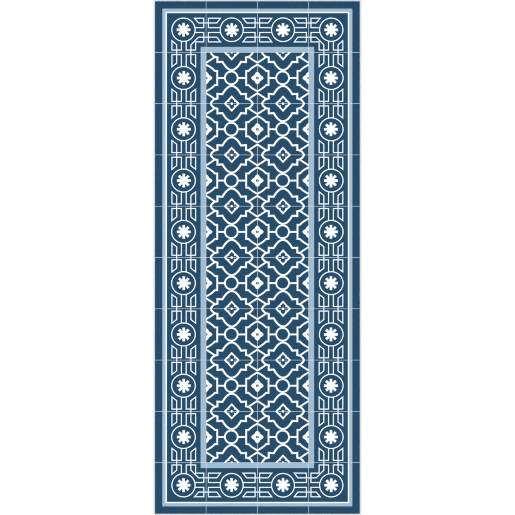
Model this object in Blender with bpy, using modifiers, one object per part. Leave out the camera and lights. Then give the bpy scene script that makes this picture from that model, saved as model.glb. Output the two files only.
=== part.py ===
"""Runner rug: a printed fabric face, a foam cushion and a latex backing, pressed together at the
rim and overlocked round all four edges. Metres, +Z up, long side along Y, underside on z = 0.

The overlock seam is a three-thread one: a needle thread runs along its inner edge, an upper
looper thread covers the top of the rim, and a lower looper thread covers its underside. The two
loopers meet at half the rug's height on the outer edge.
"""

import math

import bmesh
import bpy
from mathutils import Matrix

# Driving dimensions
TILE = 0.200              # one printed tile, a standard 20 cm cement tile
TILES_ACROSS = 4
TILES_ALONG = 10
SEAM_WIDTH = 0.0045       # overlock seam seen from above, outside the print
FACE = 0.0014             # printed fabric
FOAM = 0.0020             # cushion
BACKING = 0.0012          # anti-slip latex
GAP = 0.0003              # glue line between layers, and clearance round the threads
NEEDLE_RADIUS = 0.00035
RIM_INSIDE_PRINT = 0.0015  # how far the pressed rim reaches in under the needle thread
RIM_SLOPE = 0.0020        # width over which the layers come together
LABEL = (0.060, 0.030, 0.0003)
LABEL_FROM_EDGES = 0.045  # from the print's edges to the label's nearest corner
LABEL_POCKET_DEPTH = 0.0007

# What follows from them
HALF_WIDTH = TILES_ACROSS * TILE / 2
HALF_LENGTH = TILES_ALONG * TILE / 2
THICKNESS = BACKING + GAP + FOAM + GAP + FACE
THREAD = (THICKNESS - BACKING - FACE - 3 * GAP) / 2   # thickness of the looper threads
SEAM_HALF_HEIGHT = THICKNESS / 2
SHEET_OUTSIDE_PRINT = SEAM_WIDTH - THREAD - GAP       # face and backing end inside the seam
FOAM_INSIDE_PRINT = RIM_INSIDE_PRINT + RIM_SLOPE + 0.001
NEEDLE_INSIDE_PRINT = GAP + NEEDLE_RADIUS

FACE_RIM_TOP = THICKNESS - THREAD - GAP
BACKING_RIM_BOTTOM = THREAD + GAP

ARC_STEPS = 6
NAVY = (0.020, 0.074, 0.144)
CUSHION_GREY = (0.42, 0.43, 0.44)
LATEX = (0.55, 0.52, 0.46)
THREAD_BLUE = (0.62, 0.70, 0.76)
LABEL_WHITE = (0.85, 0.85, 0.83)


def clear_scene():
    for obj in list(bpy.data.objects):
        bpy.data.objects.remove(obj, do_unlink=True)


def collection(name, rendered=True):
    made = bpy.data.collections.new(name)
    made.hide_render = not rendered
    bpy.context.scene.collection.children.link(made)
    return made


def material(name, colour, roughness):
    made = bpy.data.materials.new(name)
    made.use_nodes = True
    shader = made.node_tree.nodes["Principled BSDF"]
    shader.inputs["Base Color"].default_value = (*colour, 1)
    shader.inputs["Roughness"].default_value = roughness
    shader.inputs["Metallic"].default_value = 0
    return made


def add_object(name, data, finish, group, parent=None):
    made = bpy.data.objects.new(name, data)
    data.materials.append(finish)
    group.objects.link(made)
    made.parent = parent
    return made


def box_mesh(name, size):
    bm = bmesh.new()
    bmesh.ops.create_cube(bm, size=1, matrix=Matrix.Diagonal((*size, 1)))
    mesh = bpy.data.meshes.new(name)
    bm.to_mesh(mesh)
    bm.free()
    return mesh


def pressed_sheet(name, outer_z, rim_z, thickness, finish, group, parent):
    """A sheet whose rim is pressed towards the middle of the rug's height. outer_z and rim_z are
    the heights of its outer surface, and thickness goes into the rug: up where it is positive."""
    bm = bmesh.new()
    half_x = HALF_WIDTH + SHEET_OUTSIDE_PRINT
    half_y = HALF_LENGTH + SHEET_OUTSIDE_PRINT
    bmesh.ops.create_grid(bm, x_segments=1, y_segments=1, size=1,
                          matrix=Matrix.Diagonal((half_x, half_y, 1, 1)))
    bmesh.ops.inset_individual(bm, faces=bm.faces[:], depth=0, use_even_offset=True,
                               thickness=SHEET_OUTSIDE_PRINT + RIM_INSIDE_PRINT)
    middle = min(bm.faces, key=lambda face: face.calc_center_median().length)
    bmesh.ops.inset_individual(bm, faces=[middle], thickness=RIM_SLOPE,
                               depth=outer_z - rim_z, use_even_offset=True)
    mesh = bpy.data.meshes.new(name)
    bm.to_mesh(mesh)
    bm.free()
    sheet = add_object(name, mesh, finish, group, parent)
    sheet.location.z = rim_z
    shell = sheet.modifiers.new("thickness", "SOLIDIFY")
    shell.thickness = abs(thickness)
    shell.offset = math.copysign(1, thickness)
    shell.use_even_offset = True
    return sheet


def foam_cushion(finish, group, parent):
    size = (2 * (HALF_WIDTH - FOAM_INSIDE_PRINT), 2 * (HALF_LENGTH - FOAM_INSIDE_PRINT), FOAM)
    foam = add_object("foam_cushion", box_mesh("foam_cushion", size), finish, group, parent)
    foam.location.z = BACKING + GAP + FOAM / 2
    return foam


def care_label(finish, group, parent):
    """A blank label heat-sealed under one corner, in a pocket of its own so the rug lies flat."""
    label = add_object("care_label", box_mesh("care_label", LABEL), finish, group, parent)
    label.location.x = -HALF_WIDTH + LABEL_FROM_EDGES + LABEL[0] / 2
    label.location.y = -HALF_LENGTH + LABEL_FROM_EDGES + LABEL[1] / 2
    label.location.z = LABEL_POCKET_DEPTH - GAP - LABEL[2] / 2
    return label


def cut_label_pocket(backing, label, cutters):
    size = (LABEL[0] + 2 * GAP, LABEL[1] + 2 * GAP, 2 * LABEL_POCKET_DEPTH)
    pocket = bpy.data.objects.new("label_pocket", box_mesh("label_pocket", size))
    pocket.location = (label.location.x, label.location.y, 0)
    pocket.hide_render = True
    pocket.display_type = "WIRE"
    cutters.objects.link(pocket)
    cut = backing.modifiers.new("label pocket", "BOOLEAN")
    cut.operation = "DIFFERENCE"
    cut.object = pocket


def looper_profile():
    """Half of the seam's section as (distance outside the print, height above the middle)
    points: along the top, round the outer corner and down to the middle, then back inside."""
    corner = THREAD + GAP
    quarter = [math.pi / 2 * (1 - step / ARC_STEPS) for step in range(ARC_STEPS + 1)]

    def arc(radius):
        return [(SEAM_WIDTH - corner + radius * math.cos(angle),
                 SEAM_HALF_HEIGHT - corner + radius * math.sin(angle)) for angle in quarter]

    outer = [(0, SEAM_HALF_HEIGHT), *arc(corner), (SEAM_WIDTH, GAP / 2)]
    inner = [(SEAM_WIDTH - THREAD, GAP / 2), *reversed(arc(GAP)), (0, SEAM_HALF_HEIGHT - THREAD)]
    return outer + inner


def looper_mesh(name, half_run, up):
    """One looper thread as a band along Y, its seam outside the print towards +X. up is 1 for
    the upper looper and -1 for the lower one. Its ends are mitred to meet the next edge's."""
    bm = bmesh.new()
    section = [bm.verts.new((out, -half_run, up * high)) for out, high in looper_profile()]
    face = bm.faces.new(section)
    grown = bmesh.ops.extrude_face_region(bm, geom=[face])["geom"]
    far_end = [part for part in grown if isinstance(part, bmesh.types.BMVert)]
    bmesh.ops.translate(bm, verts=far_end, vec=(0, 2 * half_run, 0))
    for vert in bm.verts:
        vert.co.y += math.copysign(1, vert.co.y) * (vert.co.x - GAP)
    bmesh.ops.recalc_face_normals(bm, faces=bm.faces[:])
    mesh = bpy.data.meshes.new(name)
    bm.to_mesh(mesh)
    bm.free()
    return mesh


def needle_thread(name, half_run, finish, group, edge):
    """The needle thread, straight along the seam's inner side in the groove that it pulls."""
    curve = bpy.data.curves.new(name, "CURVE")
    curve.dimensions = "3D"
    curve.bevel_depth = NEEDLE_RADIUS
    curve.bevel_resolution = 2
    curve.use_fill_caps = True
    line = curve.splines.new("POLY")
    line.points.add(1)
    height = FACE_RIM_TOP + GAP + NEEDLE_RADIUS - SEAM_HALF_HEIGHT
    for point, end in zip(line.points, (-1, 1)):
        point.co = (-NEEDLE_INSIDE_PRINT, end * half_run, height, 1)
    return add_object(name, curve, finish, group, edge)


def overlock_edge(name, half_run, offset, angle, needle_ends_short, finish, group, parent):
    """The three threads of one edge, on an empty that stands at the print's edge, half way up."""
    edge = bpy.data.objects.new(name, None)
    group.objects.link(edge)
    edge.parent = parent
    edge.rotation_euler.z = angle
    edge.location = (offset * math.cos(angle), offset * math.sin(angle), SEAM_HALF_HEIGHT)
    for which, up in (("upper", 1), ("lower", -1)):
        thread = f"{name}_{which}_looper"
        add_object(thread, looper_mesh(thread, half_run, up), finish, group, edge)
    needle_thread(f"{name}_needle_thread", half_run - needle_ends_short, finish, group, edge)


def build():
    clear_scene()
    rug = collection("runner_rug")
    cutters = collection("cutters", rendered=False)
    origin = bpy.data.objects.new("rug_origin", None)
    rug.objects.link(origin)

    print_finish = material("printed fabric", NAVY, 0.85)
    foam_finish = material("foam", CUSHION_GREY, 0.95)
    latex_finish = material("latex", LATEX, 0.70)
    thread_finish = material("overlock thread", THREAD_BLUE, 0.80)
    label_finish = material("label satin", LABEL_WHITE, 0.60)

    pressed_sheet("printed_face", THICKNESS, FACE_RIM_TOP, -FACE, print_finish, rug, origin)
    foam_cushion(foam_finish, rug, origin)
    backing = pressed_sheet("latex_backing", 0, BACKING_RIM_BOTTOM, BACKING,
                            latex_finish, rug, origin)
    label = care_label(label_finish, rug, origin)
    cut_label_pocket(backing, label, cutters)

    # The ends are sewn first, and the sides' needle threads run over the corners.
    side_clearance = GAP
    end_clearance = 2 * (NEEDLE_INSIDE_PRINT + GAP)
    for name, angle in (("right_side", 0), ("left_side", math.pi)):
        overlock_edge(name, HALF_LENGTH, HALF_WIDTH, angle, side_clearance,
                      thread_finish, rug, origin)
    for name, angle in (("far_end", math.pi / 2), ("near_end", -math.pi / 2)):
        overlock_edge(name, HALF_WIDTH, HALF_LENGTH, angle, end_clearance,
                      thread_finish, rug, origin)


build()
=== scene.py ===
"""Looks of the runner rug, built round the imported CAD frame.

The printed face is one closed sheet of cloth whose faces are cut along the printed pattern, so that
every line of the print is in the mesh. It lies on a foam cushion and a waffled latex backing, and
the four edges are overlocked with real yarn: a needle thread, an upper looper and a lower looper
on each edge. The print is drawn in millimetres; meshes are in metres.
"""

import math

import bpy
import numpy as np
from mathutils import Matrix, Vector, geometry


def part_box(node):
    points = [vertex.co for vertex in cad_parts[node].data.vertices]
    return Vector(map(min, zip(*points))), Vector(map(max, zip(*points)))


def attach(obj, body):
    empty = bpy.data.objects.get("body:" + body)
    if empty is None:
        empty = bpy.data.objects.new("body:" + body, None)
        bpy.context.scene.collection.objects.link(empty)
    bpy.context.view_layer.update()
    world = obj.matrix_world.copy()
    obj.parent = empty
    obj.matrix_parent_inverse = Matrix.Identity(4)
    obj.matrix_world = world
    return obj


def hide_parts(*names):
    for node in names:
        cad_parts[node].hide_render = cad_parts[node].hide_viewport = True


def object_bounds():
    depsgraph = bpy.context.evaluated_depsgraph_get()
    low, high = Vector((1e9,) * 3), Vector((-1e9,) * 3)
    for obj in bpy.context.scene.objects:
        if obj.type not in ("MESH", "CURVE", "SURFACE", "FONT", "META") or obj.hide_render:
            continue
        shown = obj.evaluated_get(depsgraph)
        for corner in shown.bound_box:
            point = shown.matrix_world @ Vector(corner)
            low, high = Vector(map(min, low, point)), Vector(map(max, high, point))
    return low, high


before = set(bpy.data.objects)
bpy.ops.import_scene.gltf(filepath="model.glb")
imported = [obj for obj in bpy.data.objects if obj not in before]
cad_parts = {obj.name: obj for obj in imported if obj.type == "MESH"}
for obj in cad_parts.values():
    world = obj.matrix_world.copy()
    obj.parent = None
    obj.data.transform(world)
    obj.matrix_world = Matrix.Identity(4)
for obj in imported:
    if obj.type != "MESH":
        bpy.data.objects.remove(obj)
cad_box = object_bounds()

MM = 0.001

# The sheets, in millimetres
WEAVE = 1.25              # from one thread of the face to the next
WEAVE_WANDER = 1.6        # how far its threads run off their lines, where pi is one thread
WEAVE_LIFT = 0.45         # how far a thread rises over the others, as a share of its height
SLUB_HEIGHT = 0.3         # of the thick places in its threads, as a share of their height
FACE_THICKNESS = 1.35
FACE_DROP = 1.05          # how far the pressed rim of the face lies below its middle
RIM_START = 8.0           # from the rug's edge, where the sheets begin to be pressed together
RIM_END = 5.6             # from the rug's edge, where they are fully pressed
BACKING_THICKNESS = 1.2
BACKING_LIFT = 1.15       # how far the pressed rim of the latex lies above its middle
WAFFLE = 20.0             # pitch of the cells under the latex
WAFFLE_RIB = 2.0
WAFFLE_DEPTH = 0.55
POCKET_DEPTH = 0.7        # of the flat recess in the latex that takes the label
POCKET_CLEARANCE = 0.3
OVERLAP = 0.6             # how far a sheet's hidden side laps under its rim
FACE_SLOPE_ROWS = 8       # of mesh across the slope of the rim
BACKING_SLOPE_ROWS = 6
ROUND_STEPS = 4           # of mesh to a quarter turn of a rounded rim or corner
CUSHION_SOFTNESS = 0.9    # how far the rounded rim of a layer draws in
CUSHION_CORNER = 6.0      # radius of its corners in plan
LABEL_SOFTNESS = 0.12
LABEL_CORNER = 0.8

# The overlock, in millimetres
STITCH = 2.2              # pitch
SEAM_WIDTH = 4.75         # from the rug's edge to the inner turns of a looper
SEAM_TURN = 0.75          # radius of a looper's bend over the rug's edge
SEAM_CLEARANCE = 0.08     # between a looper and the rug's top
SEAM_SAG = 0.25           # how far a looper's inner turn is pulled down into the cloth
SEAM_END = 0.2            # from the rug's corner to the first and last turn
CORNER_FAN = 14.0         # length over which the loops turn towards the mitre
YARN_HALF_WIDTH = 0.60
YARN_HALF_HEIGHT = 0.40
YARN_SIDES = 6
PLY_PITCH = 2.2           # along the yarn, from one ply to the next
LOOPER_TURN = (0.44, 0.50)  # half width and depth of a looper's turns
LOOPER_BENDS = (0.42, 0.56, 0.70)  # shares of its way at which a looper gets points for its bend
SEAM_MEETING = 0.2        # from a looper's outer turn to the middle of the rug's height
TURN_SQUEEZE = 0.3        # how much narrower the yarn is at its turns, as a share
UNEVEN_PITCH = 0.05       # how much stitches vary in pitch and in thickness, as shares
UNEVEN_REACH = 0.12       # how much a looper's inner turns vary in reach
OUTER_TURN_SHARE = 0.3    # and its outer ones, as a share of that
NEEDLE_LINE = 5.15        # from the rug's edge
NEEDLE_END = 5.5          # from the rug's corner to the first and last stitch
NEEDLE_DEPTH = 0.95       # of a needle stitch's ends below the rug's top
NEEDLE_RISE = 0.5         # of its middle above its ends
NEEDLE_POINTS = 6         # to a stitch
NEEDLE_WANDER = 0.03
NEEDLE_HALF_THICKNESS = 0.30

# The print, in millimetres, on square tiles
TILE = 200.0
HALF_TILE = TILE / 2
COLUMNS_EACH_SIDE = 2
ROWS_EACH_SIDE = 5
GROUT = 1.8
BLEED = 0.8               # how far the inks run into each other beside a printed line

# Frames of the border, as distances from the outer tiles' edges
OUTER_NAVY = 29.6
PALE_LINE = 41.8
WHITE_LINE = 46.75
ORNAMENT_BAND = 178.7

# Lines of an inner tile, as (across, along) from its middle. Where there is a single number, the
# point's other half is the tile's edge or middle, or that of the point before it.
LINE = 6.15               # width of every line but the ring and the cartouche
RING_RADIUS = 24.9
RING_LINE = 6.2
RING_CENTRE = (-1.6, 0.5)
BRACKET = (56.5, 27.6)    # where the bracket round the solid diamond turns its corner
BRACKET_SHOULDER = 66.0
BRACKET_BEND = (77.7, 41.0)
BRACKET_END = 51.6        # where it meets the tile's side edge
ARM_START = (68.0, 80.3)  # where the arm leaves the cartouche's shoulder
ARM_BEND = (86.2, 67.5)
ARM_END = 59.6
BELL_TOP = 31.1           # of the cartouche, where its bell meets the ring
BELL_FOOT = (36.2, 63.1)
STEP = (55.7, 61.9)
STEP_TOP = 80.2
SHOULDER = (66.6, 82.7)
BULGE_BEND = (78.0, 89.7)
BULGE = 81.8              # its widest, at the tile's far edge
CARTOUCHE_LINE = 6.8

# Outlined diamond across a tile's far edge, as (across, along) from the tile's middle
OPEN_TIP = 68.4
OPEN_SIDE = (16.9, 86.8)
OPEN_HIP = (22.5, 91.4)
OPEN_HALF_WIDTH = 30.5
PETAL_TIP = 78.3
PETAL = (8.9, 87.1)
SIDE_PETAL = (15.9, 6.1)  # how far across its straight side runs, and half its height
SIDE_PETAL_TIP = 20.6
DOT_RADIUS = 4.4

# Solid diamond across a tile's side edge, as distances from that edge and along it
SOLID_HALF_LENGTH = 24.8
SOLID_STEPS = ((7.3, 18.9), (11.5, 11.3), (19.4, 6.4))
SOLID_TIP = 24.4
HOLE_RADIUS = 5.0

# Ornament of the border. Rails are named by their distance from the line that joins the roundels,
# and a start is where a rail sets off, along that line from the roundel's middle.
ROUNDEL_FROM_EDGE = 113.1  # of the rug's print
ROUNDEL_RADIUS = 45.4
ROUNDEL_STRETCH = 0.65    # added to the ring's radius across the border and taken off along it
ROUNDEL_OUTWARD = 1.2     # how far every ring lies out from the middle of its rails
CORNER_STAR_OUTWARD = 1.0  # and the stars of the corner tiles, where the others don't
ROUNDEL_LINE = 3.2
STAR_RADIUS = 26.4
STAR_ARM = 9.4
STAR_CORE = 15.4
STAR_ARMS = 8
RAIL = 3.15               # width of its line
RAIL_START = ROUNDEL_RADIUS - 1.5  # inside the ring's line
INNER_RAIL = 9.35
MIDDLE_RAIL = 27.7
OUTER_RAIL = 46.2
CROSS_BAR_FROM_EDGE = 8.9  # of the tile
OUTER_RAIL_START = 43.8
MIDDLE_RAIL_START = 58.2
CORNER_OUTER_START = 41.5
CORNER_MIDDLE_START = 57.6

# Inks as linear colours
NAVY, WHITE, PALE, BLEND = "navy", "white", "pale_blue", "blended"
GROUT_INK, GROUT_ON_PALE, GROUT_ON_WHITE = "grout", "grout_on_pale", "grout_on_white"
INKS = {
    NAVY: (0.0095, 0.0545, 0.1145),
    WHITE: (0.818, 0.856, 0.885),
    PALE: (0.297, 0.425, 0.549),
    BLEND: (0.221, 0.377, 0.482),
    GROUT_INK: (0.405, 0.520, 0.615),
    GROUT_ON_PALE: (0.632, 0.658, 0.669),
    GROUT_ON_WHITE: (0.721, 0.758, 0.779),
}
INK_ORDER = list(INKS)
GROUT_OVER = {NAVY: GROUT_INK, BLEND: GROUT_INK, PALE: GROUT_ON_PALE, WHITE: GROUT_ON_WHITE}

# Linear colours of the other materials
YARN_TINT = (0.612, 0.682, 0.743)
LATEX_TINT = (0.55, 0.52, 0.46)
FOAM_TINT = (0.42, 0.43, 0.44)
LABEL_TINT = (0.80, 0.80, 0.78)
PAPER_TINT = (0.84, 0.84, 0.84)

# Studio
FLOOR_HALF_SIZE = 60000.0  # in millimetres
SUN_ENERGY = 0.9
SUN_WIDTH = 50.0          # in degrees, as wide as a softbox close by
SUN_TILT = (17.0, -13.0)  # in degrees about X and Y
LENS = 100.0              # in millimetres
SENSOR = 36.0
LENGTH_IN_VIEW = 0.9996   # share of the rug's length that fills the picture
VIEW_SHIFT = 0.00025
CLIP = (0.1, 500.0)       # in metres


# ---------------------------------------------------------------- flat drawing

def bezier(start, control, end, steps=8):
    points = []
    for i in range(steps + 1):
        t = i / steps
        a, b, c = (1 - t) ** 2, 2 * t * (1 - t), t * t
        points.append((a * start[0] + b * control[0] + c * end[0],
                       a * start[1] + b * control[1] + c * end[1]))
    return points


def arc(centre, radius, start, end, steps):
    """Points from start to end, in degrees."""
    angles = [math.radians(start + (end - start) * i / steps) for i in range(steps + 1)]
    return [(centre[0] + radius * math.cos(a), centre[1] + radius * math.sin(a)) for a in angles]


def direction(a, b):
    length = math.hypot(b[0] - a[0], b[1] - a[1])
    return (b[0] - a[0]) / length, (b[1] - a[1]) / length


def run_on(points, distance):
    """The same line, carried on past its last point."""
    dx, dy = direction(points[-2], points[-1])
    x, y = points[-1]
    return points + [(x + dx * distance, y + dy * distance)]


def mitre(before, after):
    """The step to the left of a bend that stays at a distance of 1 from both of its sides."""
    share = 1 + before[0] * after[0] + before[1] * after[1]
    return -(before[1] + after[1]) / share, (before[0] + after[0]) / share


def stroke(points, width):
    """Outline of a line of this width, with mitred bends."""
    ways = [direction(a, b) for a, b in zip(points, points[1:])]
    left, right = [], []
    for (x, y), before, after in zip(points, ways[:1] + ways, ways + ways[-1:]):
        across, along = mitre(before, after)
        left.append((x + across * width / 2, y + along * width / 2))
        right.append((x - across * width / 2, y - along * width / 2))
    return left + right[::-1]


def anticlockwise(outline):
    area = sum(a[0] * b[1] - b[0] * a[1] for a, b in zip(outline, outline[1:] + outline[:1]))
    return outline if area > 0 else outline[::-1]


def grown(outline, distance):
    """The outline moved outwards by this distance."""
    outline = anticlockwise(outline)
    ways = [direction(a, b) for a, b in zip(outline, outline[1:] + outline[:1])]
    moved_out = []
    for (x, y), before, after in zip(outline, ways[-1:] + ways[:-1], ways):
        across, along = mitre(before, after)
        moved_out.append((x - across * distance, y - along * distance))
    return moved_out


def seams(layer):
    """Blended ink under a layer's shapes, which shows as a thin line round them."""
    return [(BLEND, grown(outline, BLEED)) for _, outline in layer]


def soft_edged(*layers):
    """Layers painted one over another, each on its seams of blended ink."""
    return [shape for layer in layers for shape in seams(layer) + layer]


def cut(outline, axis, limit, side):
    """Keeps the part of an outline above (side 1) or below (side -1) a limit on one axis."""
    kept = []
    for a, b in zip(outline, outline[1:] + outline[:1]):
        a_in = (a[axis] - limit) * side >= 0
        b_in = (b[axis] - limit) * side >= 0
        if a_in:
            kept.append(a)
        if a_in != b_in:
            t = (limit - a[axis]) / (b[axis] - a[axis])
            point = [a[0] + t * (b[0] - a[0]), a[1] + t * (b[1] - a[1])]
            point[axis] = limit
            kept.append(tuple(point))
    return kept


def clipped(shapes, low, high):
    """The shapes inside a rectangle."""
    out = []
    for ink, outline in shapes:
        for axis in (0, 1):
            outline = cut(outline, axis, low[axis], 1)
            outline = cut(outline, axis, high[axis], -1)
        if len(outline) > 2:
            out.append((ink, outline))
    return out


def mirrored(shapes, across, along):
    return [(ink, [(x * across, y * along) for x, y in outline]) for ink, outline in shapes]


def swapped(shapes):
    return [(ink, [(y, x) for x, y in outline]) for ink, outline in shapes]


def moved(shapes, across, along):
    return [(ink, [(x + across, y + along) for x, y in outline]) for ink, outline in shapes]


def rectangle(low, high):
    return [low, (high[0], low[1]), high, (low[0], high[1])]


# ---------------------------------------------------------------- the printed pattern

def inner_tile_lines():
    """White lines of a quarter of an inner tile: spoke, bracket, arm and cartouche."""
    spoke = [(RING_RADIUS, 0), (BRACKET[0], 0)]
    bracket = [(BRACKET[0], -1), BRACKET]
    bracket += bezier((BRACKET_SHOULDER, BRACKET[1]), BRACKET_BEND, (HALF_TILE, BRACKET_END))
    arm = bezier(ARM_START, ARM_BEND, (HALF_TILE, ARM_END))
    arm = run_on(arm[::-1], LINE / 2)[::-1]
    cartouche = [(-1, BELL_TOP)]
    cartouche += bezier((0, BELL_TOP), (BELL_FOOT[0] / 2, BELL_TOP), BELL_FOOT, 10)
    cartouche += [STEP, (STEP[0], STEP_TOP)]
    cartouche += bezier(SHOULDER, BULGE_BEND, (BULGE, HALF_TILE))
    return [
        (WHITE, stroke(spoke, LINE)),
        (WHITE, stroke(run_on(bracket, LINE), LINE)),
        (WHITE, stroke(run_on(arm, LINE), LINE)),
        (WHITE, stroke(run_on(cartouche, LINE), CARTOUCHE_LINE)),
    ]


def diamonds():
    """White shapes of a quarter of an inner tile: the outlined diamond across its far edge, which
    is cut out by the flower below, and the solid diamond across its side edge."""
    edge = HALF_TILE
    beyond = edge + 1
    outlined = [(-1, OPEN_TIP), (0, OPEN_TIP), OPEN_SIDE, OPEN_HIP, (OPEN_HALF_WIDTH, edge)]
    outlined += [(OPEN_HALF_WIDTH, beyond), (-1, beyond)]
    solid = [(beyond, -1), (beyond, SOLID_HALF_LENGTH), (edge, SOLID_HALF_LENGTH)]
    solid += [(edge - across, along) for across, along in SOLID_STEPS]
    solid += [(edge - SOLID_TIP, 0), (edge - SOLID_TIP, -1)]
    return [(WHITE, outlined), (WHITE, solid)]


def flower():
    """Navy shapes on the diamonds: two petals of the flower in the outlined one, and the hole in
    the solid one."""
    edge = HALF_TILE
    beyond = edge + 1
    petal = [(-1, PETAL_TIP), (0, PETAL_TIP), PETAL, (PETAL[0], beyond), (-1, beyond)]
    reach, half_height = SIDE_PETAL
    side = [(-1, edge - half_height), (reach, edge - half_height), (SIDE_PETAL_TIP, edge)]
    side += [(SIDE_PETAL_TIP, beyond), (-1, beyond)]
    return [(NAVY, petal), (NAVY, side), (NAVY, arc((edge, 0), HOLE_RADIUS, 60, 300, 14))]


def all_quarters(shapes):
    """Clips shapes to a quarter of an inner tile and mirrors them into the other three."""
    quarter = clipped(shapes, (0, 0), (HALF_TILE, HALF_TILE))
    return [shape for across in (1, -1) for along in (1, -1)
            for shape in mirrored(quarter, across, along)]


def inner_tile():
    """The lines with the ring, which isn't quite in the tile's middle, then the diamonds."""
    middle_ring = ring(RING_RADIUS, RING_LINE, 0, *RING_CENTRE)
    lines = inner_tile_lines()
    dot = [(WHITE, arc((0, HALF_TILE), DOT_RADIUS, 150, 390, 14))]
    shapes = seams(middle_ring) + all_quarters(seams(lines)) + middle_ring + all_quarters(lines)
    return shapes + all_quarters(soft_edged(diamonds(), flower(), dot))


def ring(radius, line, stretch, across, along):
    """A ring stretched across the border and off the middle by (across, along). Its two halves
    overlap a little."""
    shapes = []
    for start in (-3, 177):
        half = arc((0, 0), 1, start, start + 186, 31)
        half = [(x * (radius + stretch) + across, y * (radius - stretch) + along) for x, y in half]
        shapes.append((WHITE, stroke(half, line)))
    return shapes


def star():
    """Square-ended arms round a solid middle."""
    shapes = []
    for k in range(STAR_ARMS // 2):
        angle = 2 * math.pi * k / STAR_ARMS
        tip = (STAR_RADIUS * math.cos(angle), STAR_RADIUS * math.sin(angle))
        shapes.append((WHITE, stroke([(-tip[0], -tip[1]), tip], STAR_ARM)))
    shapes.append((WHITE, arc((0, 0), STAR_CORE, 0, 345, 23)))
    return shapes


def rails(side, boundary, outer_start, middle_start):
    """Rails on one side of the line that joins two roundels, up to the tile's edge: one line runs
    from the roundel to the cross bar and back along the outside, and the other sets off from its
    end towards the next tile."""
    bar = boundary - CROSS_BAR_FROM_EDGE
    halfway = ((OUTER_RAIL + MIDDLE_RAIL) / 2 * side, (outer_start + middle_start) / 2)
    loop = [
        (side * INNER_RAIL, RAIL_START),
        (side * INNER_RAIL, bar),
        (side * OUTER_RAIL, bar),
        (side * OUTER_RAIL, outer_start),
        halfway,
    ]
    onward = [halfway, (side * MIDDLE_RAIL, middle_start), (side * MIDDLE_RAIL, boundary + 1)]
    return [(WHITE, stroke(loop, RAIL)), (WHITE, stroke(onward, RAIL))]


def border_tile():
    """Ornament of a border tile whose neighbours lie along, before and after it."""
    roundel = ring(ROUNDEL_RADIUS, ROUNDEL_LINE, ROUNDEL_STRETCH, ROUNDEL_OUTWARD, 0) + star()
    ahead = rails(1, HALF_TILE, OUTER_RAIL_START, MIDDLE_RAIL_START)
    ahead += rails(-1, HALF_TILE, OUTER_RAIL_START, MIDDLE_RAIL_START)
    shapes = soft_edged(roundel + ahead + mirrored(ahead, 1, -1))
    return clipped(shapes, (-HALF_TILE, -HALF_TILE), (HALF_TILE, HALF_TILE))


def corner_tile():
    """Ornament of the corner tile, with its neighbours towards minus across and minus along."""
    boundary = TILE - ROUNDEL_FROM_EDGE
    bar = boundary - CROSS_BAR_FROM_EDGE
    arm = rails(-1, boundary, CORNER_OUTER_START, CORNER_MIDDLE_START)
    half_elbow = [(INNER_RAIL, RAIL_START), (INNER_RAIL, bar), (OUTER_RAIL, bar)]
    elbow = half_elbow + [(OUTER_RAIL, OUTER_RAIL)] + [(y, x) for x, y in half_elbow[::-1]]
    diagonal = [(boundary + 1, MIDDLE_RAIL), (CORNER_MIDDLE_START, MIDDLE_RAIL),
                (MIDDLE_RAIL, CORNER_MIDDLE_START), (MIDDLE_RAIL, boundary + 1)]
    roundel = ring(ROUNDEL_RADIUS, ROUNDEL_LINE, 0, -ROUNDEL_OUTWARD, -ROUNDEL_OUTWARD)
    roundel += moved(star(), -CORNER_STAR_OUTWARD, -CORNER_STAR_OUTWARD)
    shapes = roundel + arm + swapped(arm)
    shapes += [(WHITE, stroke(elbow, RAIL)), (WHITE, stroke(diagonal, RAIL))]
    shapes = clipped(soft_edged(shapes), (-boundary, -boundary), (boundary, boundary))
    return mirrored(shapes, -1, -1)


def frames(width, length):
    """The border's frames and the inner field, each painted over the last."""
    shapes = []
    for inset, ink in ((OUTER_NAVY, PALE), (PALE_LINE, WHITE), (WHITE_LINE, BLEND),
                       (WHITE_LINE + BLEED, NAVY), (ORNAMENT_BAND, PALE), (TILE, NAVY)):
        shapes.append((ink, rectangle((inset - width, inset - length), (width - inset, length - inset))))
    return shapes


def tile_middles(count_each_side):
    """Middles of the inner tiles along one axis."""
    return [(number + 0.5) * TILE for number in range(1 - count_each_side, count_each_side - 1)]


def print_shapes():
    """The whole print, in the order in which it is painted."""
    width = COLUMNS_EACH_SIDE * TILE
    length = ROWS_EACH_SIDE * TILE
    side, end = width - ROUNDEL_FROM_EDGE, length - ROUNDEL_FROM_EDGE
    shapes = frames(width, length)
    tile, border, corner = inner_tile(), border_tile(), corner_tile()
    for y in tile_middles(ROWS_EACH_SIDE):
        for x in tile_middles(COLUMNS_EACH_SIDE):
            shapes += moved(tile, x, y)
        for sign in (1, -1):
            shapes += moved(mirrored(border, sign, 1), sign * side, y)
    for sign in (1, -1):
        for x in tile_middles(COLUMNS_EACH_SIDE):
            shapes += moved(mirrored(swapped(border), 1, sign), x, sign * end)
        for along in (1, -1):
            shapes += moved(mirrored(corner, sign, along), sign * side, along * end)
    return shapes


def grout_lines():
    """Strips along every joint between tiles."""
    width = COLUMNS_EACH_SIDE * TILE
    length = ROWS_EACH_SIDE * TILE
    strips = []
    for column in range(1 - COLUMNS_EACH_SIDE, COLUMNS_EACH_SIDE):
        x = column * TILE
        strips.append((GROUT_INK, rectangle((x - GROUT / 2, -length), (x + GROUT / 2, length))))
    for row in range(1 - ROWS_EACH_SIDE, ROWS_EACH_SIDE):
        y = row * TILE
        strips.append((GROUT_INK, rectangle((-width, y - GROUT / 2), (width, y + GROUT / 2))))
    return strips


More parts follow.
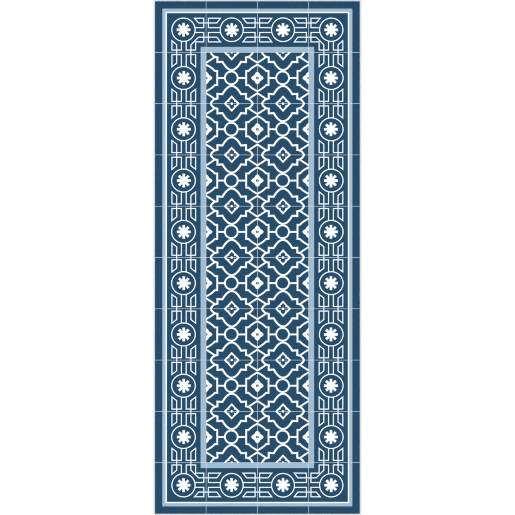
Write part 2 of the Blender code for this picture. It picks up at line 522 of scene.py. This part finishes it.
def cut_print(half_width, half_length):
    """Cuts a rectangle into triangles along every printed line. Returns the points, in millimetres,
    the triangles and each triangle's ink."""
    low, high = (-half_width, -half_length), (half_width, half_length)
    shapes = clipped([(NAVY, rectangle(low, high))] + print_shapes() + grout_lines(), low, high)
    points, faces = [], []
    for ink, outline in shapes:
        first = len(points)
        points += [Vector(p) for p in anticlockwise(outline)]
        faces.append(list(range(first, len(points))))
    keep_inside, tolerance = 1, 1e-4
    cut_points, _, triangles, _, _, origins = geometry.delaunay_2d_cdt(
        points, [], faces, keep_inside, tolerance)
    kept, inks = [], []
    for triangle, covering in zip(triangles, origins):
        if not covering:
            continue
        painted = [shapes[k][0] for k in sorted(covering)]
        ink = [ink for ink in painted if ink != GROUT_INK][-1]
        kept.append(triangle)
        inks.append(GROUT_OVER[ink] if GROUT_INK in painted else ink)
    return [(p.x, p.y) for p in cut_points], kept, inks


# ---------------------------------------------------------------- sheets

class Skin:
    """Points and faces of a closed sheet that is being built row by row from its flat middle."""

    def __init__(self):
        self.points = []
        self.faces = []
        self.inks = []
        self.smooth = []
        self.found = {}

    def point(self, x, y, z):
        key = (round(x * 1e4), round(y * 1e4), round(z * 1e4))
        if key not in self.found:
            self.found[key] = len(self.points)
            self.points.append((x, y, z))
        return self.found[key]

    def face(self, corners, ink, smooth=False):
        corners = [c for i, c in enumerate(corners) if c != corners[i - 1]]
        if len(corners) > 2:
            self.faces.append(corners)
            self.inks.append(ink)
            self.smooth.append(smooth)

    def rim_loop(self):
        """The open edge, in order, and the ink beside each of its stretches."""
        across = {}
        for corners, ink in zip(self.faces, self.inks):
            for a, b in zip(corners, corners[1:] + corners[:1]):
                across[(a, b)] = ink
        onward = {a: (b, ink) for (a, b), ink in across.items() if (b, a) not in across}
        start = min(onward)
        loop, inks = [start], []
        while True:
            following, ink = onward[loop[-1]]
            inks.append(ink)
            if following == start:
                return loop, inks
            loop.append(following)

    def grow_rows(self, rows):
        """Adds rows outside a rectangle's edge. Each row is its distance out from the loop that
        the middle ends on, and its height."""
        loop, inks = self.rim_loop()
        edge_x = max(abs(self.points[i][0]) for i in loop)
        edge_y = max(abs(self.points[i][1]) for i in loop)
        previous = loop
        for out, height in rows:
            current = []
            for i in loop:
                x, y, _ = self.points[i]
                on_side = abs(x) > edge_x - 1e-3
                on_end = abs(y) > edge_y - 1e-3
                x += math.copysign(out, x) if on_side else 0
                y += math.copysign(out, y) if on_end else 0
                current.append(len(self.points))
                self.points.append((x, y, height))
            count = len(loop)
            for k in range(count):
                after = (k + 1) % count
                self.face([previous[k], current[k], current[after], previous[after]], inks[k], True)
            previous = current
        return previous

    def flipped(self):
        self.faces = [corners[::-1] for corners in self.faces]

    def close(self, loop, ink):
        self.face(loop[::-1], ink)


def mesh_object(name, points, faces, materials, slots=None, smooth=None):
    """An object from points in millimetres."""
    mesh = bpy.data.meshes.new(name)
    mesh.from_pydata([(x * MM, y * MM, z * MM) for x, y, z in points], [], faces)
    for material in materials:
        mesh.materials.append(material)
    if slots is not None:
        mesh.polygons.foreach_set("material_index", slots)
    if smooth is not None:
        mesh.polygons.foreach_set("use_smooth", smooth)
    mesh.update()
    obj = bpy.data.objects.new(name, mesh)
    bpy.context.scene.collection.objects.link(obj)
    return obj


def eased(distance, steps):
    """A slope that sets off and ends level, as (distance along, share of the drop)."""
    return [(distance * i / steps, (1 - math.cos(math.pi * i / steps)) / 2)
            for i in range(1, steps + 1)]


def fold_rows(out, top, bottom):
    """Rows round the soft outer edge of a sheet that ends at out, from its top to its bottom."""
    radius = (top - bottom) / 2
    rows = []
    for i in range(1, 2 * ROUND_STEPS):
        angle = math.pi * i / (2 * ROUND_STEPS)
        height = bottom + radius + radius * math.cos(angle)
        rows.append((out - radius + radius * math.sin(angle), height))
    return rows


def printed_face_object(materials):
    low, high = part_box("printed_face")
    rug = cad_box[1] / MM
    flat_x, flat_y = rug.x - RIM_START, rug.y - RIM_START
    top = high.z / MM
    pressed = top - FACE_DROP
    edge = high.x / MM - flat_x
    edge_middle = edge - FACE_THICKNESS / 2
    points, triangles, inks = cut_print(flat_x, flat_y)
    skin = Skin()
    for triangle, ink in zip(triangles, inks):
        skin.face([skin.point(*points[i], top) for i in triangle], ink)
    slope = eased(RIM_START - RIM_END, FACE_SLOPE_ROWS)
    rows = [(out, top - FACE_DROP * drop) for out, drop in slope]
    rows += [(edge_middle, pressed)]
    rows += fold_rows(edge, pressed, pressed - FACE_THICKNESS)
    rows += [(edge_middle, pressed - FACE_THICKNESS)]
    rows += [(out, top - FACE_THICKNESS - FACE_DROP * drop) for out, drop in slope[::-1]]
    rows += [(-OVERLAP, top - FACE_THICKNESS)]
    skin.close(skin.grow_rows(rows), NAVY)
    slots = [INK_ORDER.index(ink) for ink in skin.inks]
    cloth = mesh_object("printed_cloth", skin.points, skin.faces, materials, slots, skin.smooth)
    return finished(cloth, "printed_face")


def waffle_cell(skin, column, row):
    """A shallow square cell of the latex underside, seen from below."""
    x, y = column * WAFFLE, row * WAFFLE
    rings = []
    for inset, height in ((0, 0), (WAFFLE_RIB / 2, 0), (WAFFLE_RIB, WAFFLE_DEPTH)):
        rings.append([skin.point(px, py, height) for px, py in rectangle(
            (x + inset, y + inset), (x + WAFFLE - inset, y + WAFFLE - inset))])
    for outer, inner in zip(rings, rings[1:]):
        for k in range(4):
            after = (k + 1) % 4
            skin.face([outer[k], outer[after], inner[after], inner[k]], 0)
    skin.face(rings[-1], 0)


def label_pocket(skin, low, high, cells):
    """A flat patch of the underside in place of some cells, with a pocket for the label."""
    (left, near), (right, far) = cells
    ring = [(x, near) for x in range(left, right)] + [(right, y) for y in range(near, far)]
    ring += [(x, far) for x in range(right, left, -1)] + [(left, y) for y in range(far, near, -1)]
    ring = [skin.point(x * WAFFLE, y * WAFFLE, 0) for x, y in ring]
    across, along = right - left, far - near
    starts = [0, across, across + along, 2 * across + along, len(ring)]
    mouth = [skin.point(x, y, 0) for x, y in rectangle(low, high)]
    base = [skin.point(x, y, POCKET_DEPTH) for x, y in rectangle(low, high)]
    ring.append(ring[0])
    for k in range(4):
        after = (k + 1) % 4
        outer = ring[starts[k]:starts[k + 1] + 1]
        skin.face(outer + [mouth[after], mouth[k]], 0)
        skin.face([mouth[k], mouth[after], base[after], base[k]], 0)
    skin.face(base, 0)


def backing_object(material):
    low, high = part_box("latex_backing")
    label_low, label_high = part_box("care_label")
    pocket_low = (label_low.x / MM - POCKET_CLEARANCE, label_low.y / MM - POCKET_CLEARANCE)
    pocket_high = (label_high.x / MM + POCKET_CLEARANCE, label_high.y / MM + POCKET_CLEARANCE)
    edge_x, edge_y = high.x / MM, high.y / MM
    columns = int((edge_x - RIM_START) // WAFFLE)
    rows_each_way = int((edge_y - RIM_START) // WAFFLE)
    cells = ((math.floor(pocket_low[0] / WAFFLE), math.floor(pocket_low[1] / WAFFLE)),
             (math.ceil(pocket_high[0] / WAFFLE), math.ceil(pocket_high[1] / WAFFLE)))
    skin = Skin()
    for column in range(-columns, columns):
        for row in range(-rows_each_way, rows_each_way):
            in_patch = cells[0][0] <= column < cells[1][0] and cells[0][1] <= row < cells[1][1]
            if not in_patch:
                waffle_cell(skin, column, row)
    label_pocket(skin, pocket_low, pocket_high, cells)
    edge = edge_x - columns * WAFFLE
    edge_middle = edge - BACKING_THICKNESS / 2
    slope_start = cad_box[1].x / MM - RIM_START - columns * WAFFLE
    slope = eased(RIM_START - RIM_END, BACKING_SLOPE_ROWS)
    top = BACKING_LIFT + BACKING_THICKNESS
    rows = [(slope_start, 0)]
    rows += [(slope_start + out, BACKING_LIFT * rise) for out, rise in slope]
    rows += [(edge_middle, BACKING_LIFT)]
    rows += fold_rows(edge, top, BACKING_LIFT)[::-1]
    rows += [(edge_middle, top)]
    rows += [(slope_start + out, BACKING_THICKNESS + BACKING_LIFT * rise) for out, rise in slope[::-1]]
    rows += [(slope_start - OVERLAP, BACKING_THICKNESS)]
    skin.close(skin.grow_rows(rows), 0)
    skin.flipped()
    backing = mesh_object("latex_underside", skin.points, skin.faces, [material], None, skin.smooth)
    return finished(backing, "latex_backing")


def slab(name, low, high, material, softness, corner):
    """A closed layer with rounded rims and round corners in plan."""
    middle = (low + high) / 2 / MM
    half = (high - low) / 2 / MM
    rings = []
    for level in range(2 * ROUND_STEPS + 1):
        angle = math.pi * (level / (2 * ROUND_STEPS) - 0.5)
        inset = softness * (1 - math.cos(angle))
        outline = []
        for quarter, (across, along) in enumerate(((1, 1), (-1, 1), (-1, -1), (1, -1))):
            centre = (middle.x + across * (half.x - corner), middle.y + along * (half.y - corner))
            start = 90 * quarter
            outline += arc(centre, corner - inset, start, start + 90, ROUND_STEPS)
        height = middle.z + half.z * math.sin(angle)
        rings.append([(x, y, height) for x, y in outline])
    count = len(rings[0])
    faces = [list(range(count))[::-1]]
    for start in range(0, count * (len(rings) - 1), count):
        for k in range(count):
            after = (k + 1) % count
            faces.append([start + k, start + after, start + count + after, start + count + k])
    faces.append(list(range(count * (len(rings) - 1), count * len(rings))))
    smooth = [0 < number < len(faces) - 1 for number in range(len(faces))]
    points = [point for outline in rings for point in outline]
    return mesh_object(name, points, faces, [material], None, smooth)


def cushion_object(material):
    low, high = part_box("foam_cushion")
    cushion = slab("cushion_layer", low, high, material, CUSHION_SOFTNESS, CUSHION_CORNER)
    return finished(cushion, "foam_cushion")


def label_object(material):
    low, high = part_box("care_label")
    label = slab("satin_label", low, high, material, LABEL_SOFTNESS, LABEL_CORNER)
    return finished(label, "care_label")


# ---------------------------------------------------------------- overlock yarn

def seam_section(distance, rug_top):
    """Where the upper looper's centreline runs in the seam's section, by the distance along it
    from its inner end: depth from the rug's edge, height, and its outward and upward normal."""
    straight = SEAM_WIDTH - YARN_HALF_HEIGHT - SEAM_TURN
    level = rug_top - YARN_HALF_HEIGHT - SEAM_CLEARANCE
    angle = np.clip((distance - straight) / SEAM_TURN, 0, math.pi / 2)
    down = np.maximum(distance - straight - math.pi / 2 * SEAM_TURN, 0)
    sag = SEAM_SAG * np.clip(1 - distance / (2 * YARN_HALF_WIDTH), 0, 1) ** 2
    depth = SEAM_WIDTH - np.minimum(distance, straight) - SEAM_TURN * np.sin(angle)
    height = level - sag - SEAM_TURN * (1 - np.cos(angle)) - down
    return depth, height, np.sin(angle), np.cos(angle)


def seam_length(rug_top):
    """Length of a looper's way from its inner turn to its outer turn."""
    straight = SEAM_WIDTH - YARN_HALF_HEIGHT - SEAM_TURN
    down = rug_top / 2 - YARN_HALF_HEIGHT - SEAM_CLEARANCE - SEAM_TURN - SEAM_MEETING
    return straight + math.pi / 2 * SEAM_TURN + down


def fanned(along, depth, half_length):
    """Turns the loops near a corner towards the mitre."""
    start = half_length - CORNER_FAN
    share = np.clip((np.abs(along) - start) / CORNER_FAN, 0, 1)
    share = share * share * (3 - 2 * share)
    return np.sign(along) * (np.abs(along) - depth * share)


def looper_stitch(length, pitch):
    """One stitch of a looper, which goes over the edge and back with a half ellipse at either end:
    how far over each point lies, from 0 to 1 and back, and at what share of the stitch."""
    turn_share, turn_level = LOOPER_TURN[0] / pitch, LOOPER_TURN[1] / length
    angle = np.radians((0, 45, 90))
    levels, shares = turn_level * (1 - np.cos(angle)), turn_share * np.sin(angle)
    bends = np.array(LOOPER_BENDS)
    shares = np.concatenate([shares, turn_share + (0.5 - 2 * turn_share) * bends, 0.5 - shares[::-1]])
    levels = np.concatenate([levels, bends, 1 - levels[::-1]])
    return np.concatenate([levels, levels[-2:0:-1]]), np.concatenate([shares, 1 - shares[-2:0:-1]])


def looper_path(half_length, half_width, rug_top, half_step, rng):
    """Centreline, normal and half width of a looper yarn on the +X edge, running along Y, and the
    pitch of its stitches. Every stitch is a little uneven."""
    span = 2 * (half_length - SEAM_END)
    count = int(span // STITCH)
    pitch = span / count
    length = seam_length(rug_top)
    levels, shares = looper_stitch(length, pitch)
    wander = rng.normal(0, UNEVEN_PITCH, count + 1) * pitch
    reach = rng.normal(0, UNEVEN_REACH, count)
    thick = 1 + rng.normal(0, UNEVEN_PITCH, count)
    number = np.repeat(np.arange(count), len(levels))
    share = np.tile(shares, count)
    level = np.tile(levels, count)
    drift = wander[number] * (1 - share) + wander[number + 1] * share
    along = (number + share + half_step) * pitch + drift - span / 2
    along = np.clip(along, -span / 2, span / 2)
    turns = np.abs(2 * level - 1) ** 4
    distance = level * length + reach[number] * turns * np.where(level < 0.5, 1, OUTER_TURN_SHARE)
    depth, height, out, up = seam_section(distance, rug_top)
    path = np.stack([half_width - depth, fanned(along, depth, half_length), height], axis=1)
    normal = np.stack([out, np.zeros_like(out), up], axis=1)
    return path, normal, YARN_HALF_WIDTH * (1 - TURN_SQUEEZE * turns) * thick[number], pitch


def needle_path(half_length, half_width, rug_top, pitch, rng):
    """Centreline of the needle thread's stitches, which dip into the cloth between them."""
    span = 2 * (half_length - NEEDLE_END)
    count = int(round(span / pitch))
    steps = np.arange(count * NEEDLE_POINTS + 1) / NEEDLE_POINTS
    rise = np.abs(np.sin(math.pi * steps)) ** 0.6
    along = (steps / count - 0.5) * span
    across = half_width - NEEDLE_LINE + rng.normal(0, NEEDLE_WANDER, len(steps))
    height = rug_top - NEEDLE_DEPTH + NEEDLE_RISE * rise
    path = np.stack([across, along, height], axis=1)
    normal = np.tile([0.0, 0.0, 1.0], (len(steps), 1))
    return path, normal, np.full(len(steps), NEEDLE_HALF_THICKNESS)


def yarn_mesh(name, path, normal, width, height, material):
    """A yarn of flattened section round a centreline, closed at both ends. Each corner keeps its
    distance along the yarn and its turn round it, for the plies."""
    count, sides = len(path), YARN_SIDES
    tangent = np.gradient(path, axis=0)
    tangent /= np.linalg.norm(tangent, axis=1)[:, None]
    across = np.cross(tangent, normal)
    across /= np.linalg.norm(across, axis=1)[:, None]
    lift = np.cross(across, tangent)
    angles = 2 * math.pi * np.arange(sides)[None, :, None] / sides
    rings = path[:, None, :] + np.cos(angles) * width[:, None, None] * across[:, None, :]
    rings += np.sin(angles) * height * lift[:, None, :]
    ring = np.arange(count - 1)[:, None] * sides
    side = np.arange(sides)[None, :]
    after = (side + 1) % sides
    quads = np.stack([ring + side, ring + after, ring + sides + after, ring + sides + side], axis=-1)
    faces = quads.reshape(-1, 4).tolist()
    faces.append(list(range(sides))[::-1])
    faces.append(list(range((count - 1) * sides, count * sides)))
    smooth = [True] * len(faces)
    obj = mesh_object(name, rings.reshape(-1, 3).tolist(), faces, [material], None, smooth)
    run = np.concatenate([[0], np.cumsum(np.linalg.norm(np.diff(path, axis=0), axis=1))])
    corners = np.zeros((count - 1, sides, 4, 3))
    corners[:, :, (0, 1), 0] = run[:-1, None, None]
    corners[:, :, (2, 3), 0] = run[1:, None, None]
    corners[:, :, (0, 3), 1] = side[:, :, None] / sides
    corners[:, :, (1, 2), 1] = side[:, :, None] / sides + 1 / sides
    caps = np.zeros(2 * sides * 3)
    store = obj.data.attributes.new("yarn", "FLOAT_VECTOR", "CORNER")
    store.data.foreach_set("vector", np.concatenate([corners.ravel(), caps]))
    return obj


def turned(vectors, quarter_turns):
    """Turns points or normals about the rug's middle, from the +X edge to another edge."""
    x, y, z = vectors.T
    for _ in range(quarter_turns):
        x, y = -y, x
    return np.stack([x, y, z], axis=1)


def overlock(edge, quarter_turns, half_length, half_width, rug_top, material):
    """The three threads of one edge. The lower looper is the upper one turned upside down and
    moved by half a stitch."""
    rng = np.random.default_rng(11 + quarter_turns)

    def thread(kind, node, path, normal, width, height):
        path, normal = turned(path, quarter_turns), turned(normal, quarter_turns)
        piece = yarn_mesh(f"{edge}_{kind}_yarn", path, normal, width, height, material)
        finished(piece, f"{edge}_{node}")

    path, normal, width, _ = looper_path(half_length, half_width, rug_top, 0.0, rng)
    thread("upper", "upper_looper", path, normal, width, YARN_HALF_HEIGHT)
    path, normal, width, pitch = looper_path(half_length, half_width, rug_top, 0.5, rng)
    path[:, 2] = rug_top - path[:, 2]
    normal[:, 2] *= -1
    thread("lower", "lower_looper", path, normal, width, YARN_HALF_HEIGHT)
    path, normal, width = needle_path(half_length, half_width, rug_top, pitch, rng)
    thread("needle", "needle_thread", path, normal, width, NEEDLE_HALF_THICKNESS)


def finished(piece, node):
    """The piece stands for its CAD node, which it hides, and moves with the rug."""
    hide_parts(node)
    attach(piece, "root")
    return piece


# ---------------------------------------------------------------- materials

def new_material(name):
    material = bpy.data.materials.new(name)
    material.use_nodes = True
    return material, material.node_tree, material.node_tree.nodes["Principled BSDF"]


def node(tree, kind, **settings):
    made = tree.nodes.new(kind)
    for key, value in settings.items():
        setattr(made, key, value)
    return made


def join(tree, source, target):
    tree.links.new(source, target)


def math_node(tree, operation, a, b=0.0):
    made = node(tree, "ShaderNodeMath", operation=operation)
    for socket, value in zip(made.inputs, (a, b)):
        if isinstance(value, (int, float)):
            socket.default_value = value
        else:
            join(tree, value, socket)
    return made.outputs[0]


def varied(tree, value, by, base):
    """base + by * value"""
    made = node(tree, "ShaderNodeMath", operation="MULTIPLY_ADD")
    join(tree, value, made.inputs[0])
    made.inputs[1].default_value = by
    made.inputs[2].default_value = base
    return made.outputs[0]


def place(tree, scale=(1, 1, 1)):
    """Object coordinates times scale."""
    coordinates = node(tree, "ShaderNodeTexCoord")
    scaled = node(tree, "ShaderNodeVectorMath", operation="MULTIPLY")
    scaled.inputs[1].default_value = scale
    join(tree, coordinates.outputs["Object"], scaled.inputs[0])
    return scaled.outputs[0]


def noise(tree, vector, scale, detail=2.0):
    made = node(tree, "ShaderNodeTexNoise")
    made.inputs["Scale"].default_value = scale
    made.inputs["Detail"].default_value = detail
    made.inputs["Roughness"].default_value = 0.5
    join(tree, vector, made.inputs["Vector"])
    return made.outputs["Fac"]


def roughened(tree, shader, value, by, base):
    join(tree, varied(tree, value, by, base), shader.inputs["Roughness"])


def tinted(tree, shader, colour, amount):
    """The shader's colour, times amount."""
    scaled = node(tree, "ShaderNodeVectorMath", operation="SCALE")
    scaled.inputs[0].default_value = colour
    join(tree, amount, scaled.inputs["Scale"])
    join(tree, scaled.outputs[0], shader.inputs["Base Color"])


def bumped(tree, shader, height, strength, distance):
    bump = node(tree, "ShaderNodeBump")
    bump.inputs["Strength"].default_value = strength
    bump.inputs["Distance"].default_value = distance
    join(tree, height, bump.inputs["Height"])
    join(tree, bump.outputs["Normal"], shader.inputs["Normal"])


def weave_height(tree, pitch):
    """Plain weave of round threads. Each thread is a ridge along its own line, and stands high
    where it passes over the other set and low where it passes under."""
    per_metre = math.pi / (pitch * MM)
    level = 1 - WEAVE_LIFT
    wobble = noise(tree, place(tree), scale=90.0)
    parts = node(tree, "ShaderNodeSeparateXYZ")
    join(tree, place(tree, (per_metre, per_metre, per_metre)), parts.inputs[0])
    shift = math_node(tree, "MULTIPLY", wobble, WEAVE_WANDER)
    waves = [math_node(tree, "SINE", math_node(tree, "ADD", parts.outputs[axis], shift))
             for axis in (0, 1)]
    crossing = math_node(tree, "MULTIPLY", waves[0], waves[1])
    lift = math_node(tree, "MULTIPLY", crossing, WEAVE_LIFT)
    over = math_node(tree, "ADD", lift, level)
    under = math_node(tree, "SUBTRACT", level, lift)
    warp = math_node(tree, "MULTIPLY", math_node(tree, "ABSOLUTE", waves[0]), over)
    weft = math_node(tree, "MULTIPLY", math_node(tree, "ABSOLUTE", waves[1]), under)
    return math_node(tree, "MAXIMUM", warp, weft)


def cloth_material(name, colour):
    """Printed plain weave: an even ink over round threads, with slubs along the weft."""
    material, tree, shader = new_material(name)
    weave = weave_height(tree, WEAVE)
    slubs = noise(tree, place(tree, (50, 800, 50)), scale=1.0)
    roughened(tree, shader, slubs, by=0.12, base=0.80)
    height = math_node(tree, "ADD", weave, math_node(tree, "MULTIPLY", slubs, SLUB_HEIGHT))
    bumped(tree, shader, height, strength=0.9, distance=0.0004)
    shader.inputs["Base Color"].default_value = (*colour, 1)
    shader.inputs["Specular IOR Level"].default_value = 0.15
    shader.inputs["Sheen Weight"].default_value = 0.06
    shader.inputs["Sheen Roughness"].default_value = 0.5
    return material


def thread_material():
    """Texturised polyester yarn: two plies twisted together, with a soft uneven tint and painted shade
    in the grooves between the plies.
    """
    material, tree, shader = new_material("edge_yarn")
    attribute = node(tree, "ShaderNodeAttribute", attribute_name="yarn")
    parts = node(tree, "ShaderNodeSeparateXYZ")
    join(tree, attribute.outputs["Vector"], parts.inputs[0])
    along = math_node(tree, "MULTIPLY", parts.outputs[0], 2 * math.pi / PLY_PITCH)
    around = math_node(tree, "MULTIPLY", parts.outputs[1], 4 * math.pi)
    ply_relief_and_shade = math_node(tree, "SINE", math_node(tree, "ADD", along, around))
    fluff = noise(tree, place(tree), scale=420.0, detail=3.0)
    # painted shade: the colour is a little darker in the grooves between the plies and lighter on their
    # ridges; the fluff adds an uneven tint
    amount = math_node(tree, "ADD", varied(tree, ply_relief_and_shade, by=0.03, base=0.97),
                       varied(tree, fluff, by=0.10, base=-0.05))
    tinted(tree, shader, YARN_TINT, amount)
    roughened(tree, shader, fluff, by=0.15, base=0.62)
    bumped(tree, shader, ply_relief_and_shade, strength=0.4, distance=0.0001)
    shader.inputs["Specular IOR Level"].default_value = 0.3
    shader.inputs["Sheen Weight"].default_value = 0.1
    return material


def latex_material():
    """Cast latex: faint mottle and a pebbled skin."""
    material, tree, shader = new_material("waffled_latex")
    mottle = noise(tree, place(tree), scale=45.0, detail=3.0)
    pebbles = noise(tree, place(tree), scale=700.0)
    tinted(tree, shader, LATEX_TINT, varied(tree, mottle, by=0.16, base=0.92))
    roughened(tree, shader, pebbles, by=0.2, base=0.55)
    bumped(tree, shader, pebbles, strength=0.4, distance=0.0003)
    return material


def foam_material():
    """Open-cell foam: small pores of uneven size."""
    material, tree, shader = new_material("cushion_foam")
    pores = node(tree, "ShaderNodeTexVoronoi")
    pores.inputs["Scale"].default_value = 1100.0
    join(tree, place(tree), pores.inputs["Vector"])
    depth = pores.outputs["Distance"]
    tinted(tree, shader, FOAM_TINT, varied(tree, depth, by=-0.3, base=1.05))
    shader.inputs["Roughness"].default_value = 0.95
    bumped(tree, shader, depth, strength=0.6, distance=0.0004)
    return material


def satin_material():
    """Satin weave of the blank label: long floats across, with a soft gloss."""
    material, tree, shader = new_material("label_satin")
    floats = noise(tree, place(tree, (300, 6000, 300)), scale=1.0)
    tinted(tree, shader, LABEL_TINT, varied(tree, floats, by=0.12, base=0.92))
    roughened(tree, shader, floats, by=0.25, base=0.30)
    bumped(tree, shader, floats, strength=0.3, distance=0.00008)
    shader.inputs["Sheen Weight"].default_value = 0.2
    return material


def floor_material():
    """Matt white paper, with a barely uneven surface."""
    material, tree, shader = new_material("studio_paper")
    fibres = noise(tree, place(tree), scale=60.0, detail=4.0)
    roughened(tree, shader, fibres, by=0.1, base=0.85)
    shader.inputs["Base Color"].default_value = (*PAPER_TINT, 1)
    shader.inputs["Specular IOR Level"].default_value = 0.1
    return material


# ---------------------------------------------------------------- studio

def studio():
    size = FLOOR_HALF_SIZE
    corners = [(x, y, 0) for x, y in rectangle((-size, -size), (size, size))]
    floor = mesh_object("floor", corners, [(0, 1, 2, 3)], [floor_material()])
    world = bpy.data.worlds.new("soft_white")
    world.use_nodes = True
    background = world.node_tree.nodes["Background"]
    background.inputs["Color"].default_value = (1, 1, 1, 1)
    background.inputs["Strength"].default_value = 1.0
    bpy.context.scene.world = world
    lamp = bpy.data.lights.new("softbox", "SUN")
    lamp.energy = SUN_ENERGY
    lamp.angle = math.radians(SUN_WIDTH)
    holder = bpy.data.objects.new("softbox", lamp)
    holder.rotation_euler = (math.radians(SUN_TILT[0]), math.radians(SUN_TILT[1]), 0)
    bpy.context.scene.collection.objects.link(holder)


def straight_down_camera():
    """Looks straight down at the rug's middle and takes in just its length."""
    low, high = cad_box
    camera = bpy.data.cameras.new("camera")
    camera.lens = LENS
    camera.sensor_width = SENSOR
    distance = (high.y - low.y) * LENGTH_IN_VIEW * LENS / SENSOR
    camera.clip_start, camera.clip_end = CLIP
    camera.shift_x = VIEW_SHIFT
    holder = bpy.data.objects.new("camera", camera)
    holder.location = ((low.x + high.x) / 2, (low.y + high.y) / 2, high.z + distance)
    bpy.context.scene.collection.objects.link(holder)
    bpy.context.scene.camera = holder


def build():
    rug = cad_box[1] / MM
    studio()
    straight_down_camera()
    backing_object(latex_material())
    cushion_object(foam_material())
    printed_face_object([cloth_material(ink + "_print", INKS[ink]) for ink in INK_ORDER])
    label_object(satin_material())
    yarn = thread_material()
    edges = (("right_side", 0, rug.y, rug.x), ("far_end", 1, rug.x, rug.y),
             ("left_side", 2, rug.y, rug.x), ("near_end", 3, rug.x, rug.y))
    for name, quarter_turns, half_length, half_width in edges:
        overlock(name, quarter_turns, half_length, half_width, rug.z, yarn)
    scene = bpy.context.scene
    scene.view_settings.view_transform = "Standard"
    scene.view_settings.look = "None"
    scene.cycles.filter_width = 1.0


build()
